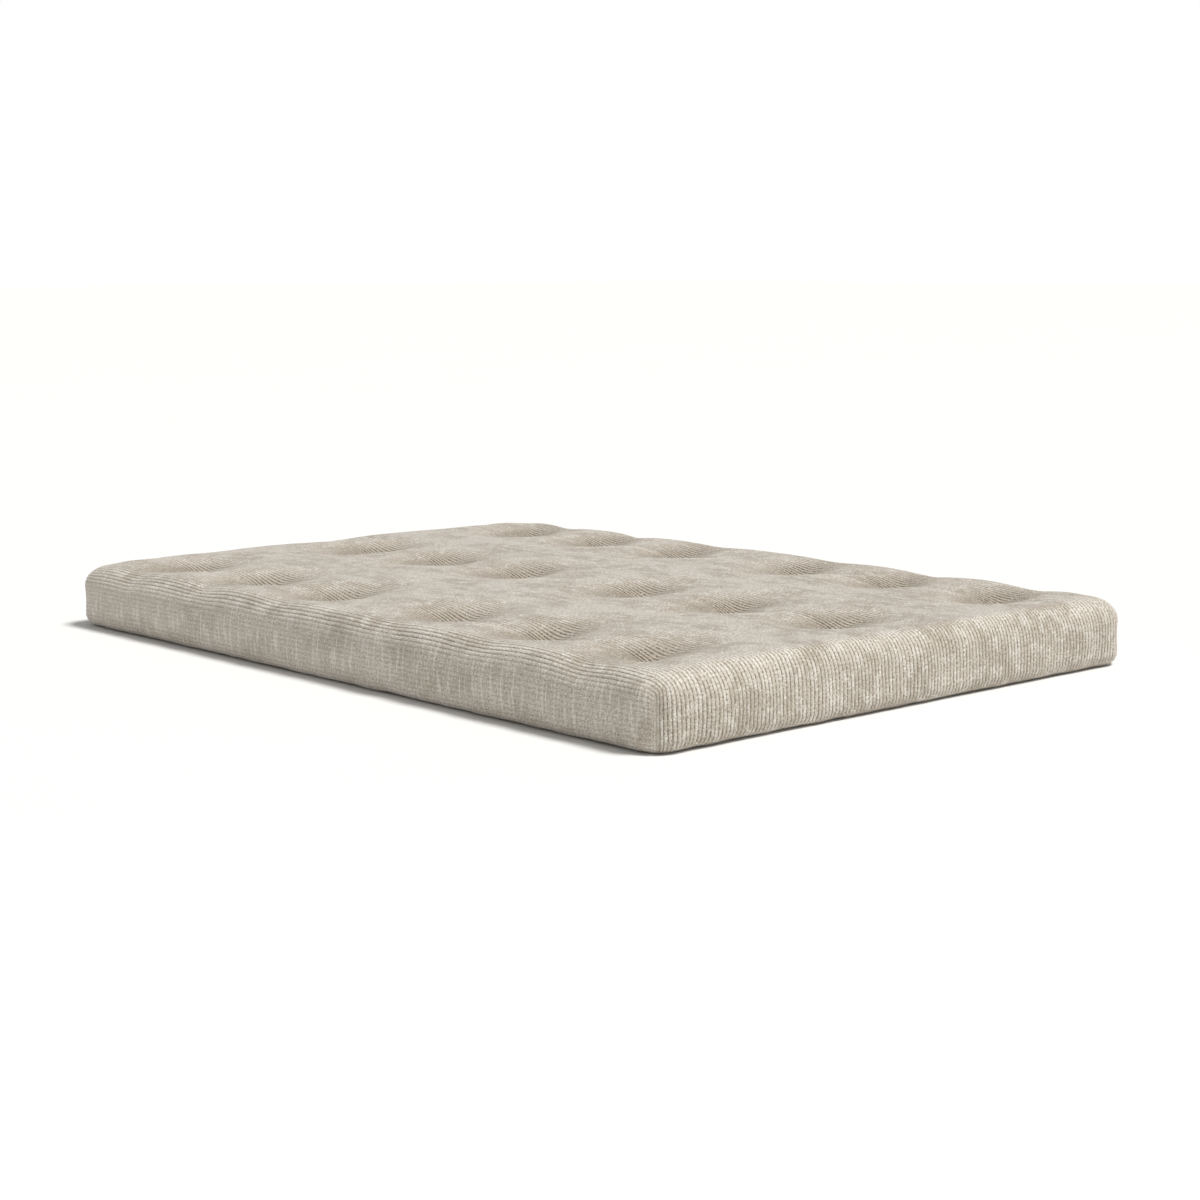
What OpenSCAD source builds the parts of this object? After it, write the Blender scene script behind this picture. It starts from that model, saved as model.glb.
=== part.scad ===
// Tufted futon mattress for a 140 x 200 cm folding bed frame.
// Origin: middle of the underside. +X across the bed, +Y towards the head, +Z up.
// The mattress bends at two fold lines into a foot, a middle and a head section, so every
// layer and the cover are cut there, and each section's pieces move together.

/* [Overall size] */
// Width across the sides at their fullest
width = 1430; // [1000:10:1800]
// Length from the foot wall to the head wall at their fullest
length = 2030; // [1950:10:2200]
// Thickness of the puffed part between the tufts
thickness = 150; // [130:5:200]
// Plan radius of the four upright corners
corner_r = 60; // [40:5:90]
// Radius of the soft edge between the top and the walls
top_edge_r = 45; // [30:1:55]
// Radius of the edge that rolls under onto the bed
base_edge_r = 25; // [20:1:35]

/* [Folding] */
// Gap between two neighbouring sections at a fold line
fold_gap = 0.4; // [0.3:0.1:1]

/* [Tufts] */
// Distance of the outer tuft columns from the side walls
tuft_side_inset = 190; // [160:5:240]
// Distance of the inner tuft rows from the middle of the length
tuft_inner_y = 200; // [180:5:220]
// Distance between neighbouring tuft rows on one side of the middle
tuft_row_gap = 295; // [260:5:310]
// Depth of the pinch that a tuft pulls into the top
dimple_depth = 40; // [20:1:42]
// Width of the pinch in the top
dimple_w = 180; // [120:5:200]
// Depth of the shallower pinch in the underside
under_dimple_depth = 10; // [9:1:14]
// Width of the pinch in the underside
under_dimple_w = 100; // [80:5:140]
// Radius of one strand of the doubled tufting twine
strand_r = 1.1; // [0.8:0.1:1.2]

/* [Cover] */
// Thickness of the corduroy and of the base cloth with its lining
cover_t = 2; // [1.5:0.5:3]
// How far the base cloth stays in from the walls
base_inset = 32; // [30:1:60]
// Radius of the sewing thread
thread_r = 0.9; // [0.5:0.1:1]

/* [Filling] */
// Slack between the cover and the filling
filling_slack = 0.5; // [0.3:0.1:1]
// Height of the lowest cotton wadding
base_wadding_h = 24; // [18:1:26]
// Height of each of the two foam slabs
foam_h = 30; // [20:1:30]
// Height of the wadding between the foam slabs
middle_wadding_h = 18; // [14:1:18]

/* [Hidden] */
$fn = 64;
far = 4000;
edge_overrun = 3;
strand_x = 0.8 * strand_r;
twine_hole_r = 2.1 * strand_r;
stitch_l = 10;
stitch_r = 2;
knot_r = 4;
lift = 0.5;
seam_channel = 2.4;
seam_channel_h = 40;
groove_r = 1.5;
fold_y = tuft_inner_y + tuft_row_gap / 2;

// Each section runs from its low y to its high y; the outer ones run past the walls.
SECTIONS = ["foot", "middle", "head"];
SECTION_LOW_Y = [-far / 2, -fold_y + fold_gap / 2, fold_y + fold_gap / 2];
SECTION_HIGH_Y = [-fold_y - fold_gap / 2, fold_y - fold_gap / 2, far / 2];

// The filling's layers from the bed upwards, and the height at which each one starts.
LAYERS = ["wadding_base", "foam_lower", "wadding_middle", "foam_upper", "wadding_top"];
layer_low = cover_t + filling_slack;
foam_lower_z = layer_low + base_wadding_h;
wadding_middle_z = foam_lower_z + foam_h;
foam_upper_z = wadding_middle_z + middle_wadding_h;
wadding_top_z = foam_upper_z + foam_h;
LAYER_Z = [0, foam_lower_z, wadding_middle_z, foam_upper_z, wadding_top_z, thickness];

TUFT_X = [-width / 2 + tuft_side_inset, 0, width / 2 - tuft_side_inset];
TUFT_SIDES = ["left", "centre", "right"];
outer_rows = [tuft_inner_y + 2 * tuft_row_gap, tuft_inner_y + tuft_row_gap, tuft_inner_y];
TUFT_Y = [-outer_rows[0], -outer_rows[1], -outer_rows[2],
    outer_rows[2], outer_rows[1], outer_rows[0]];

CORNER_ENDS = ["foot", "head"];
CORNER_SIDES = ["left", "right"];

// Radius of the ball that leaves a pinch of this width and depth.
function pinch_ball_r(w, depth) = (w * w / 4 + depth * depth) / (2 * depth);

// A rectangle with round corners, centred, made of exact arcs.
module plan_outline(w, l, r) {
    square([w - 2 * r, l], center = true);
    square([w, l - 2 * r], center = true);
    for (x = [-1, 1])
        for (y = [-1, 1])
            translate([x * (w / 2 - r), y * (l / 2 - r)]) circle(r);
}

// The upright profile of the mattress seen from one side, standing on y = low.
module side_profile(w, low, high, r_low, r_high) {
    translate([-w / 2, low + r_low]) square([w, high - low - r_low - r_high]);
    translate([-w / 2 + r_low, low]) square([w - 2 * r_low, r_low]);
    translate([-w / 2 + r_high, high - r_high]) square([w - 2 * r_high, r_high]);
    for (x = [-1, 1]) {
        translate([x * (w / 2 - r_low), low + r_low]) circle(r_low);
        translate([x * (w / 2 - r_high), high - r_high]) circle(r_high);
    }
}

// The space between two y planes.
module section_slab(low_y, high_y) {
    translate([-far / 2, low_y, -far / 2]) cube([far, high_y - low_y, far]);
}

// The whole mattress drawn in by inset on every side, without its pinches. The profiles run a
// little past the walls, so their round edges cross the walls and the corners cleanly.
module plain_block(inset) {
    intersection() {
        translate([0, 0, inset])
            linear_extrude(thickness - 2 * inset)
                plan_outline(width - 2 * inset, length - 2 * inset, corner_r - inset);
        rotate([90, 0, 0])
            linear_extrude(far, center = true)
                side_profile(width + 2 * (edge_overrun - inset), inset, thickness - inset,
                    base_edge_r - inset, top_edge_r - inset);
        rotate([90, 0, 90])
            linear_extrude(far, center = true)
                side_profile(length + 2 * (edge_overrun - inset), inset, thickness - inset,
                    base_edge_r - inset, top_edge_r - inset);
    }
}

// The balls that press the pinches of the rows between two y planes, grown by inset.
module pinches(inset, low_y, high_y) {
    top_r = pinch_ball_r(dimple_w, dimple_depth);
    under_r = pinch_ball_r(under_dimple_w, under_dimple_depth);
    for (y = [for (row_y = TUFT_Y) if (row_y > low_y && row_y < high_y) row_y])
        for (x = TUFT_X) {
            translate([x, y, thickness - dimple_depth + top_r]) sphere(top_r + inset);
            translate([x, y, under_dimple_depth - under_r]) sphere(under_r + inset);
        }
}

// The holes that the needle leaves for the twine.
module twine_holes(low_y, high_y) {
    for (y = [for (row_y = TUFT_Y) if (row_y > low_y && row_y < high_y) row_y])
        for (x = TUFT_X)
            translate([x, y, -thickness]) cylinder(r = twine_hole_r, h = 3 * thickness);
}

// One section of the mattress drawn in by inset, with its pinches.
module pinched_block(inset, low_y, high_y) {
    difference() {
        intersection() {
            plain_block(inset);
            section_slab(low_y, high_y);
        }
        pinches(inset, low_y, high_y);
    }
}

// The cloth of one section, cover_t thick and open at the fold lines.
module cover_shell(i) {
    low = SECTION_LOW_Y[i];
    high = SECTION_HIGH_Y[i];
    difference() {
        pinched_block(0, low, high);
        pinched_block(cover_t, low - 1, high + 1);
        twine_holes(low, high);
    }
}

// The base cloth's outline, grown by a distance.
module base_outline(grow) {
    side = 2 * (base_inset - grow);
    plan_outline(width - side, length - side, corner_r - base_inset / 2 + grow);
}

// The upright prism inside which the underside belongs to the base cloth.
module base_prism(grow) {
    translate([0, 0, -1])
        linear_extrude(seam_channel_h)
            base_outline(grow);
}

// Corduroy top with its walls, down to the seam that joins it to the base cloth.
module cover_upper(i) {
    color([0.76, 0.72, 0.66])
        difference() {
            cover_shell(i);
            base_prism(seam_channel);
            for (x = [-1, 1])
                for (y = [-1, 1])
                    corner_seam_line(x, y, groove_r);
        }
}

// Plain cotton cloth under the mattress.
module cover_base(i) {
    color([0.86, 0.82, 0.73])
        intersection() {
            cover_shell(i);
            base_prism(0);
        }
}

// One layer of the filling in one section: 0 is the lowest layer and 4 the top one.
module filling_layer(i, layer) {
    low = SECTION_LOW_Y[i];
    high = SECTION_HIGH_Y[i];
    z_low = LAYER_Z[layer];
    color(layer % 2 == 0 ? [0.93, 0.91, 0.86] : [0.95, 0.89, 0.70])
        difference() {
            intersection() {
                pinched_block(layer_low, low, high);
                translate([-far / 2, -far / 2, z_low]) cube([far, far, LAYER_Z[layer + 1] - z_low]);
            }
            twine_holes(low, high);
        }
}

// Thread that sews the base cloth to the upper, lying in the channel between them.
module base_seam(i) {
    middle = seam_channel / 2;
    color([0.66, 0.62, 0.55])
        intersection() {
            section_slab(SECTION_LOW_Y[i], SECTION_HIGH_Y[i]);
            translate([0, 0, lift])
                linear_extrude(thread_r)
                    difference() {
                        base_outline(middle + thread_r / 2);
                        base_outline(middle - thread_r / 2);
                    }
        }
}

// An upright line on the outermost line of a corner, r thick.
module corner_seam_line(x, y, r) {
    out = corner_r * (1 - sqrt(0.5));
    translate([x * (width / 2 - out), y * (length / 2 - out), base_edge_r])
        cylinder(r = r, h = thickness - top_edge_r - base_edge_r);
}

// Thread of the upright seam that closes one corner of the cover.
module corner_seam(x, y) {
    color([0.60, 0.56, 0.50])
        corner_seam_line(x, y, thread_r);
}

// Doubled twine through the whole mattress, with its stitch on top and its knot below.
module tuft(x, y) {
    stitch_z = thickness - dimple_depth + lift + stitch_r;
    knot_z = under_dimple_depth - lift - knot_r;
    color([0.80, 0.75, 0.64])
        translate([x, y, 0]) {
            for (s = [-1, 1])
                translate([s * strand_x, 0, knot_z]) cylinder(r = strand_r, h = stitch_z - knot_z);
            translate([0, 0, stitch_z]) rotate([0, 90, 0]) {
                cylinder(r = stitch_r, h = stitch_l, center = true);
                for (s = [-1, 1])
                    translate([0, 0, s * stitch_l / 2]) sphere(stitch_r);
            }
            translate([0, 0, knot_z]) sphere(knot_r);
        }
}

for (i = [0 : 2]) {
    cover_upper(i);
    cover_base(i);
    base_seam(i);
    for (layer = [0 : 4])
        filling_layer(i, layer);
}
for (end = [0, 1])
    for (side = [0, 1])
        corner_seam(2 * side - 1, 2 * end - 1);
for (row = [0 : len(TUFT_Y) - 1])
    for (col = [0 : 2])
        tuft(TUFT_X[col], TUFT_Y[row]);
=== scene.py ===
import math
from functools import lru_cache

import bpy
import numpy as np
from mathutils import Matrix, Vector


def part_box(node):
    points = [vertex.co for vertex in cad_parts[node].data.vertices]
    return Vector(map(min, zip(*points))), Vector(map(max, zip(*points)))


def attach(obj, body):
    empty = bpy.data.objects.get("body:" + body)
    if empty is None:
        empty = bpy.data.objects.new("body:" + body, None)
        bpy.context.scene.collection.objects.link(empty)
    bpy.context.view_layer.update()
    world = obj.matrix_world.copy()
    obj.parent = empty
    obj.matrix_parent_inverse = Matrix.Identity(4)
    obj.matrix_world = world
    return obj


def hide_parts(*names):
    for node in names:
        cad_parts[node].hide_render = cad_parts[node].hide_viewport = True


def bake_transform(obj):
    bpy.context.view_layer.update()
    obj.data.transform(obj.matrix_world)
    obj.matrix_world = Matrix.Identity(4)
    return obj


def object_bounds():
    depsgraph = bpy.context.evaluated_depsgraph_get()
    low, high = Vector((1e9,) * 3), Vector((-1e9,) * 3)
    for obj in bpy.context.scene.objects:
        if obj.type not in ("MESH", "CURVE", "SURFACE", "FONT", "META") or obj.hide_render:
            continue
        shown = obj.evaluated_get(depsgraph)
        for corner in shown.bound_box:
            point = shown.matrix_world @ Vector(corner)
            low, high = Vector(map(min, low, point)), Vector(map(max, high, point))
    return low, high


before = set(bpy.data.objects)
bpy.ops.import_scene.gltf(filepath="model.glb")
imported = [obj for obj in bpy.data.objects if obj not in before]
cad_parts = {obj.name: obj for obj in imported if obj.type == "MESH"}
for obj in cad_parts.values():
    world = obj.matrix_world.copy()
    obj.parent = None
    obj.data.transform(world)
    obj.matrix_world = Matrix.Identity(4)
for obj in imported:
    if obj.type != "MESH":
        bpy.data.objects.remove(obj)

bl_info = {
    "name": "Tufted futon mattress",
    "version": (1, 0, 0),
    "blender": (4, 5, 0),
    "location": "View3D > Sidebar > Futon",
    "description": "Sews, fills and tufts a wide-wale corduroy futon mattress",
    "category": "Object",
}

MM = 0.001
CAD_BOX = [list(corner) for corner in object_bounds()]
TINY = 1e-6
SIDES = ("left", "centre", "right")
LAYERS = ("wadding_base", "foam_lower", "wadding_middle", "foam_upper", "wadding_top")
TUFT_BODIES = ("foot", "foot", "middle", "middle", "head", "head")
# Each half of the cover runs from the middle of the length over one fold line.
HALVES = {"foot": -1, "head": 1}
# Values on the cover's points: on a side wall, by a corner seam, in a tuft's pinch and on top
# of a pillow between the tufts.
COVER_MARKS = ("side_wall", "seam", "pinch", "pillow")


def node_middle(node):
    """Middle of a CAD node's box."""
    low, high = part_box(node)
    return (np.array(low) + np.array(high)) / 2


def tuft_node(row, side):
    """CAD name of one tuft, with row 0 nearest the foot."""
    return f"tuft_{row + 1}_{side}"


TUFTS = {
    (row, side): node_middle(tuft_node(row, side))
    for row in range(len(TUFT_BODIES))
    for side in SIDES
}
TUFT_PLACES = np.array([place[:2] for place in TUFTS.values()])
COVER_LOW, COVER_HIGH = [np.array(corner) for corner in CAD_BOX]
BASE_SEAM_X = float(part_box("base_seam_middle")[1][0])
PINCH_Z = float(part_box(tuft_node(0, "left"))[1][2])
LAYER_FLOORS = [float(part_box(f"{layer}_middle")[0][2]) for layer in LAYERS]


def hex_colour(code):
    """Linear colour of an sRGB hex code."""
    parts = [int(code[i : i + 2], 16) / 255 for i in (1, 3, 5)]
    return tuple(p / 12.92 if p <= 0.04045 else ((p + 0.055) / 1.055) ** 2.4 for p in parts)


def length(name, description, default, **more):
    """A size property in metres."""
    return bpy.props.FloatProperty(
        name=name, description=description, default=default, unit="LENGTH", precision=4, **more
    )


def colour(name, description, code):
    """A colour property with a hex default."""
    return bpy.props.FloatVectorProperty(
        name=name, description=description, default=hex_colour(code), subtype="COLOR",
        min=0, max=1,
    )


class FutonSizes(bpy.types.PropertyGroup):
    """Sizes of the cover, its ribs, pinches and threads."""

    corner_radius: length("Corner radius", "Plan radius of the upright corners", 66 * MM)
    corner_cut: length("Corner cut", "Where the corner seam starts, in from the edge", 62 * MM)
    top_edge_radius: length("Top edge radius", "Roundness of the top edge", 58 * MM)
    base_edge_radius: length("Base edge radius", "Roundness of the bottom edge", 26 * MM)
    rib_pitch: length("Rib pitch", "Distance from one corduroy rib to the next", 10.3 * MM)
    rib_depth: length("Rib depth", "Depth of the groove between two ribs", 1.9 * MM)
    row_spacing: length("Row spacing", "Mesh spacing along the ribs", 12 * MM)
    pinch_across: length("Pinch reach across", "How far a tuft pulls across the bed", 82 * MM)
    pinch_along: length("Pinch reach along", "How far a tuft pulls along the bed", 56 * MM)
    row_valley: length("Row valley", "Sag between the tufts of one row", 3.5 * MM)
    column_valley: length("Column valley", "Sag between the tufts of one column", 4 * MM)
    wall_give: length("Wall give", "How far the walls start inside their full shape", 6 * MM)
    panel_step: length("Panel step", "Grid spacing of the cloth that is blown up", 22 * MM)
    most_swell: length("Most swell", "Farthest that the pressure may push the cloth out", 6 * MM)
    most_sink: length("Most sink", "Farthest that the cloth may move in", 4 * MM)
    under_pinch: length("Under pinch", "Depth of the pinches in the underside", 12 * MM)
    filling_gap: length("Filling gap", "Room between the cover and the filling", 12 * MM)
    corner_sag: length("Corner sag", "How far the filling is short at the corners", 18 * MM)
    stitch_pitch: length("Stitch pitch", "Length of one stitch of the base seam", 5 * MM)
    thread_radius: length("Thread radius", "Radius of the sewing thread", 0.5 * MM)
    strand_radius: length("Strand radius", "Radius of one strand of tufting twine", 1.0 * MM)
    stitch_length: length("Tuft stitch", "Length of the stitch that shows on top", 10 * MM)
    knot_radius: length("Knot radius", "Radius of the knot under a tuft", 2.6 * MM)


class FutonColours(bpy.types.PropertyGroup):
    """Colours of the cloths, fillings, threads and the floor."""

    rib: colour("Rib", "Crest of a corduroy rib", "#D0C7BA")
    # Paler pile in patches, flecks and streaks, and also the painted highlight on the tops of the
    # pillows.
    rib_pale_and_highlight: colour("Brushed pile", "Pile brushed towards the light", "#EBE6DD")
    # Darker patches of pile, and also the painted shade laid in the tufts' pinches.
    rib_dark_and_shade: colour("Shaded pile", "Pile brushed away from the light", "#AEA393")
    rib_shaded: colour("Flecks", "Darker yarns in the pile", "#9E9384")
    # Partly the ground's own tone and partly painted shade in the grooves; also the painted shade
    # at the twine of each pinch.
    groove: colour("Groove", "Woven ground between two ribs", "#7A6E60")
    # Painted shade: a darker ground for the grooves inside the tufts' pinches.
    pinch_groove_shade: colour("Deep groove", "Ground that opens in a tuft's pinch", "#5C5145")
    base_cloth: colour("Base cloth", "Unbleached cotton twill", "#C9C3B7")
    wadding: colour("Wadding", "Felted cotton", "#EFEBE0")
    foam: colour("Foam", "Polyurethane foam", "#F0E3B8")
    thread: colour("Thread", "Sewing thread", "#B4AB9B")
    twine: colour("Twine", "Waxed tufting twine", "#CBBFA4")
    floor: colour("Floor", "Plain pale floor", "#EFEFEE")


class FutonLight(bpy.types.PropertyGroup):
    """Camera and light of the stage."""

    camera_place: bpy.props.FloatVectorProperty(
        name="Camera place", description="Where the camera stands", subtype="XYZ",
        default=(-3.412, -3.833, 0.8735), unit="LENGTH",
    )
    camera_turn: bpy.props.FloatProperty(
        name="Camera turn", description="Turn away from the length of the bed",
        default=math.radians(42.288), unit="ROTATION",
    )
    camera_dip: bpy.props.FloatProperty(
        name="Camera dip", description="Tilt below level",
        default=math.radians(8.586), unit="ROTATION",
    )
    lens: bpy.props.FloatProperty(
        name="Lens", description="Focal length", default=67.99, unit="CAMERA"
    )
    key_from: bpy.props.FloatVectorProperty(
        name="Key from", description="Direction that the key light comes from",
        subtype="DIRECTION", default=(0.22, -0.33, 0.85),
    )
    key_strength: bpy.props.FloatProperty(
        name="Key strength", description="Strength of the key light", default=2.98
    )
    sky_strength: bpy.props.FloatProperty(
        name="Sky strength", description="Strength of the light from all round", default=0.37
    )


# --- shape -------------------------------------------------------------------------------


def ease(x):
    """Smooth step from 0 to 1."""
    x = np.clip(x, 0, 1)
    return x * x * (3 - 2 * x)


def ripples(u, v, seed, size_u, size_v, waves=14):
    """Smooth random field of about -1 to 1, with bumps of the given sizes."""
    dice = np.random.default_rng(seed)
    total = np.zeros(np.shape(u))
    for _ in range(waves):
        turn, start = dice.uniform(0, 2 * math.pi, 2)
        pace = dice.uniform(0.6, 1.5)
        total = total + np.cos(
            pace * (math.cos(turn) * u / size_u + math.sin(turn) * v / size_v) * math.pi + start
        )
    return total / math.sqrt(waves)


class CoverShape:
    """The sewn shape of the cover, over the flat cloth: u runs across the bed, v along it.

    The top and the four walls are one cloth cut as a cross; its four cut corners are the
    upright corner seams."""

    def __init__(self, sizes):
        self.sizes = sizes
        half = (COVER_HIGH - COVER_LOW) / 2
        self.height = float(COVER_HIGH[2])
        self.inner = half[:2] - sizes.corner_radius
        self.cut = sizes.corner_cut
        self.seam_offset = BASE_SEAM_X - self.inner[0]
        top, low = sizes.top_edge_radius, sizes.base_edge_radius
        self.runs = np.cumsum([
            sizes.corner_radius - top,
            top * math.pi / 2,
            self.height - top - low,
            low * math.pi / 2,
            sizes.corner_radius - low - self.seam_offset,
        ])
        self.u_cut, self.v_cut = self.inner + self.cut
        self.u_end, self.v_end = self.inner + self.runs[-1]

    def edge_profile(self, s):
        """How far out and how high the cloth is after a run s from the flat top."""
        top, low = self.sizes.top_edge_radius, self.sizes.base_edge_radius
        flat, over, wall, under, _ = self.runs
        over_angle = np.clip((s - flat) / top, 0, math.pi / 2)
        under_angle = np.clip((s - wall) / low, 0, math.pi / 2)
        out = np.minimum(s, flat) + top * np.sin(over_angle)
        out = out - low * (1 - np.cos(under_angle)) - np.maximum(s - under, 0)
        high = self.height - top * (1 - np.cos(over_angle)) - np.clip(s - over, 0, wall - over)
        high = high - low * np.sin(under_angle)
        give = self.sizes.wall_give * np.sin(math.pi * np.clip(high / self.height, 0, 1))
        return out - give * (out > flat), high

    def past_inner(self, u, v):
        """How far points lie past the flat inner part, across the bed and along it."""
        across, along = np.abs(u) - self.inner[0], np.abs(v) - self.inner[1]
        return np.maximum(across, 0), np.maximum(along, 0)

    def corner_turn(self, a, b, cut):
        """Direction round a corner: 0 faces a side wall and a quarter turn faces an end wall."""
        return np.arctan2(np.minimum(b, cut), np.minimum(a, cut))

    def corner_run(self, a, b):
        """How far past the flat top a point lies; it is longer over a corner, which is round."""
        far = np.maximum(a, b)
        near_a, near_b = np.minimum(a, self.cut), np.minimum(b, self.cut)
        round_corner = np.cbrt(near_a**3 + near_b**3) - np.maximum(near_a, near_b)
        return far + round_corner * (1 - ease((far - self.cut) / (self.runs[-1] - self.cut)))

    def pinched(self, x, y):
        """How far down a tuft's pinch a point lies: 0 on top of a pillow and 1 at the twine.

        A pinch is a steep cup, blunt at the twine, inside a wide shallow bowl."""
        cup_share, bowl_share = 0.62, 0.38
        cup_top, cup_fall, blunt, bowl_fall = 0.17, 1.2, 0.02, 0.32
        total = np.zeros(np.shape(x))
        for tx, ty in TUFT_PLACES:
            far = np.hypot(
                (x - tx) / self.sizes.pinch_across, (y - ty) / self.sizes.pinch_along
            )
            cup = np.exp(cup_top - cup_fall * np.sqrt(far * far + blunt))
            total += (cup_share * cup + bowl_share * np.exp(-bowl_fall * far * far)) ** 3
        return np.minimum(np.cbrt(total), 1)

    def top_drop(self, x, y):
        """How far the top lies below its full height."""
        size = self.sizes
        edge_fade, least_at_edge = 0.17, 0.35
        row_width, column_width, corner_width = 0.075, 0.095, 0.1
        unevenness = 1.5 * MM
        depth = self.height - PINCH_Z
        from_side, from_end = COVER_HIGH[0] - np.abs(x), COVER_HIGH[1] - np.abs(y)
        inward = ease(np.minimum(from_side, from_end) / edge_fade)
        drop = depth * self.pinched(x, y) * (least_at_edge + (1 - least_at_edge) * inward)
        columns, rows = [np.unique(TUFT_PLACES[:, axis].round(4)) for axis in (0, 1)]
        across = sum(np.exp(-(((y - row) / row_width) ** 2)) for row in rows)
        along = sum(np.exp(-(((x - column) / column_width) ** 2)) for column in columns)
        valley = size.row_valley * across + size.column_valley * along
        at_corner = np.exp(-((np.hypot(from_side, from_end) / corner_width) ** 2))
        valley = valley + size.corner_sag * at_corner
        bumps = unevenness * (1 + ripples(x, y, 3, 0.16, 0.2))
        return drop + valley * (1 - drop / depth) + bumps

    def gather(self, x, y):
        """Pulls the cloth towards each tuft, as the twine does."""
        reach_x, reach_y = 0.062, 0.085
        for tx, ty in TUFT_PLACES:
            dx, dy = x - tx, y - ty
            pull = 0.5 * np.exp(-((dx / reach_x) ** 2 + (dy / reach_y) ** 2))
            x, y = x - dx * pull, y - 0.5 * dy * pull
        return x, y

    def place(self, u, v):
        """Position of points of the flat cloth on the sewn and filled cover."""
        a, b = self.past_inner(u, v)
        out, high = self.edge_profile(self.corner_run(a, b))
        turn = self.corner_turn(a, b, self.cut)
        out = np.where((a > 0) | (b > 0), out, 0)
        x = np.sign(u) * (np.minimum(np.abs(u), self.inner[0]) + out * np.cos(turn))
        y = np.sign(v) * (np.minimum(np.abs(v), self.inner[1]) + out * np.sin(turn))
        drop = self.top_drop(x, y) * (high / self.height) ** 3
        gx, gy = self.gather(x, y)
        on_top = ease((high - 0.6 * self.height) / (0.4 * self.height))
        x, y = x + (gx - x) * on_top, y + (gy - y) * on_top
        return np.stack([x, y, high - drop], -1)

    def walls(self, u, v):
        """How much a point of the cloth is on a side wall and on an end wall, from 0 to 1.

        A side wall starts earlier by a corner, and its pile is less crushed where it turns
        under."""
        side_start, earlier, side_run = 0.034, 0.012, 0.07
        under_start, under_run = 0.14, 0.04
        end_start = end_run = 0.03
        corner_reach = 0.12
        a, b = self.past_inner(u, v)
        to_corner = np.exp(-(((self.v_cut - np.abs(v)) / corner_reach) ** 2))
        side = ease((a - (side_start - earlier * to_corner)) / side_run)
        side = side * (1 - 0.4 * ease((a - under_start) / under_run)) * (a >= b)
        end = ease((b - self.runs[0] - end_start) / end_run) * (b > a)
        return side, end

    def seam_gap(self, u, v):
        """Distance along the cloth to its corner seam, which only the walls have."""
        on_side, on_end = np.abs(u) > self.u_cut, np.abs(v) > self.v_cut
        gap = np.where(on_end, self.u_cut - np.abs(u), np.inf)
        return np.where(on_side, self.v_cut - np.abs(v), gap)

    def lines(self, step):
        """Grid lines of the cloth that is blown up, with lines on the cuts."""
        found = []
        for cut, end in ((self.u_cut, self.u_end), (self.v_cut, self.v_end)):
            inside = np.linspace(-cut, cut, 2 * round(cut / step) + 1)
            flap = np.linspace(cut, end, round((end - cut) / step) + 1)[1:]
            found.append(np.concatenate([-flap[::-1], inside, flap]))
        return found

    def fine_lines(self):
        """Grid lines of the finished cover: five to a rib, and even rows along it."""
        ribs = round(self.u_cut / self.sizes.rib_pitch)
        pitch = self.u_cut / ribs
        outer = round((self.u_end - self.u_cut) / pitch)
        across = np.array([0, 0.13, 0.37, 0.63, 0.87])
        u = (np.arange(0, ribs + outer)[:, None] + across).ravel() * pitch
        u = np.append(u[u < self.u_end - 0.2 * pitch], self.u_end)
        u[np.argmin(np.abs(u - self.u_cut))] = self.u_cut
        step = self.sizes.row_spacing
        v = np.concatenate([
            [0, 0.12 * step],
            np.linspace(0, self.v_cut, round(self.v_cut / step) + 1)[1:],
            np.linspace(self.v_cut, self.v_end, round((self.v_end - self.v_cut) / step) + 1)[1:],
        ])
        return [np.concatenate([-w[:0:-1], w]) for w in (u, v)], pitch

    def cross(self, us, vs):
        """Points and faces of the cross-shaped cloth on these grid lines."""
        uu, vv = np.meshgrid(us, vs)
        kept = (np.abs(uu) < self.u_cut + TINY) | (np.abs(vv) < self.v_cut + TINY)
        number = np.where(kept, np.cumsum(kept.ravel()).reshape(kept.shape) - 1, -1)
        corners = np.stack(
            [number[:-1, :-1], number[:-1, 1:], number[1:, 1:], number[1:, :-1]], -1
        )
        u_mid, v_mid = (uu[:-1, :-1] + uu[1:, 1:]) / 2, (vv[:-1, :-1] + vv[1:, 1:]) / 2
        cloth = (np.abs(u_mid) < self.u_cut) | (np.abs(v_mid) < self.v_cut)
        return uu, vv, kept, number, corners[cloth]


def weights(at, lines):
    """Smooth (Catmull-Rom) weights that carry values on grid lines to the points at."""
    index = np.interp(at, lines, np.arange(len(lines)))
    base = np.minimum(index.astype(int), len(lines) - 2)
    f = index - base
    parts = [
        -0.5 * f + f**2 - 0.5 * f**3,
        1 - 2.5 * f**2 + 1.5 * f**3,
        0.5 * f + 2 * f**2 - 1.5 * f**3,
        -0.5 * f**2 + 0.5 * f**3,
    ]
    table = np.zeros((len(at), len(lines)))
    for k, part in enumerate(parts):
        np.add.at(table, (np.arange(len(at)), np.clip(base + k - 1, 0, len(lines) - 1)), part)
    return table


def point_normals(points, faces):
    """Smooth normals of a mesh of quads."""
    corners = [points[faces[:, k]] for k in range(4)]
    face = np.cross(corners[2] - corners[0], corners[3] - corners[1])
    total = np.zeros_like(points)
    for k in range(4):
        for axis in range(3):
            total[:, axis] += np.bincount(faces[:, k], face[:, axis], len(points))
    return total / np.maximum(np.linalg.norm(total, axis=1), 1e-12)[:, None]


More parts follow.
